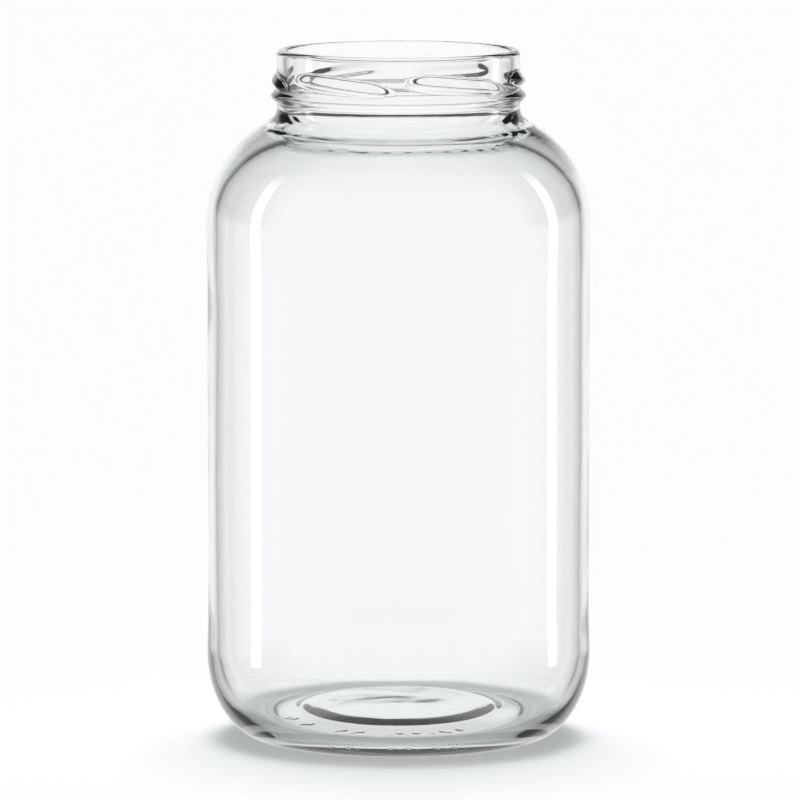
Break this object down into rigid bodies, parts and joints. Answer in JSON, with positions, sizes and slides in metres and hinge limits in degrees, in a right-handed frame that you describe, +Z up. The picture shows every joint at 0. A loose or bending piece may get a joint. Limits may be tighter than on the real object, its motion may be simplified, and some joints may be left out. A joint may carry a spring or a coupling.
{
  "type": "preserving jar",
  "caption": "Tall clear glass preserving jar with a wide mouth, a lug finish and a bead on the neck, rounded shoulder and heel; empty, without its lid.",
  "frame": {"origin": "centre of the circle that the jar stands on, at the bottom of its box", "axes": "+Z up the jar's axis towards the open mouth, -Y towards the side that the picture shows"},
  "size_m": [0.1046, 0.1046, 0.188],
  "materials": {
    "glass": "clear polished"
  },
  "bodies": {
    "root": {"jar": "glass"}
  },
  "joints": []
}
